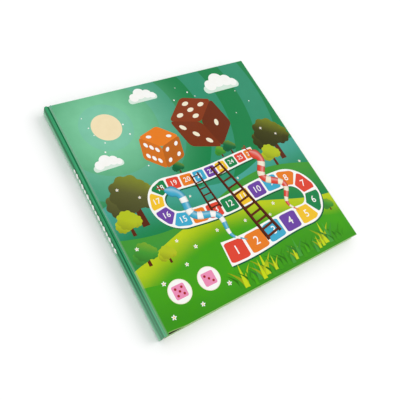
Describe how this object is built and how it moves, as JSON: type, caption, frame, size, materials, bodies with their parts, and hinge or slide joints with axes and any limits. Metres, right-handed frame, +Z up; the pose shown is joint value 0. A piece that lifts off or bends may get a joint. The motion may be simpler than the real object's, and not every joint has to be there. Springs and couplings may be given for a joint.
{
  "type": "folding board game case",
  "caption": "Square hardback folding game case with a wrapped cover, grooved paper hinges, a magnetic playing field, a tray, a spinner and flat counters.",
  "frame": {"origin": "centre of the closed case's outline, on the face that it rests on", "axes": "+X from the spine to the fore-edge, +Y from the tail to the head, +Z up through the closed covers"},
  "size_m": [0.205, 0.205, 0.0111],
  "materials": {
    "greyboard": "raw grey board",
    "printed_wrap": "printed, gloss laminated",
    "hinge_wrap": "printed, gloss laminated",
    "lining_paper": "uncoated",
    "tray_card": "raw, die cut",
    "tray_print": "printed, gloss laminated",
    "dial_card": "printed, gloss laminated",
    "white_plastic": "moulded",
    "arrow_plastic": "moulded",
    "red_plastic": "moulded",
    "yellow_plastic": "moulded",
    "blue_plastic": "moulded",
    "purple_plastic": "moulded",
    "ferrite": "pressed and ground",
    "magnetic_rubber": "calendered",
    "field_print": "printed, gloss laminated"
  },
  "bodies": {
    "back_cover": {"back_board": "greyboard", "back_wrap": "printed_wrap", "back_lining": "lining_paper", "back_hinge": "hinge_wrap", "tray_frame": "tray_card", "tray_face": "tray_print", "spinner_dial": "dial_card", "spinner_post": "white_plastic", "spinner_cap": "white_plastic", "counter_red": "red_plastic", "counter_yellow": "yellow_plastic", "counter_blue": "blue_plastic", "counter_purple": "purple_plastic", "counter_magnets": "ferrite"},
    "spine": {"spine_board": "greyboard", "spine_wrap": "hinge_wrap", "spine_lining": "lining_paper"},
    "front_cover": {"front_hinge": "hinge_wrap", "front_board": "greyboard", "front_wrap": "printed_wrap", "front_lining": "lining_paper", "magnetic_sheet": "magnetic_rubber", "playing_field": "field_print"},
    "arrow": {"spinner_arrow": "arrow_plastic"}
  },
  "joints": [
    {"name": "spine_fold", "type": "hinge", "parent": "back_cover", "child": "spine", "pos_m": [-0.10115, 0, 0.00135], "axis": [0, -1, 0], "range_deg": [0, 90], "deforming": ["back_hinge"]},
    {"name": "cover_fold", "type": "hinge", "parent": "spine", "child": "front_cover", "pos_m": [-0.10115, 0, 0.00975], "axis": [0, -1, 0], "range_deg": [0, 90], "deforming": ["front_hinge"]},
    {"name": "arrow_spin", "type": "hinge", "parent": "back_cover", "child": "arrow", "pos_m": [0.00178, 0.032, 0.0051], "axis": [0, 0, 1], "continuous": true}
  ]
}
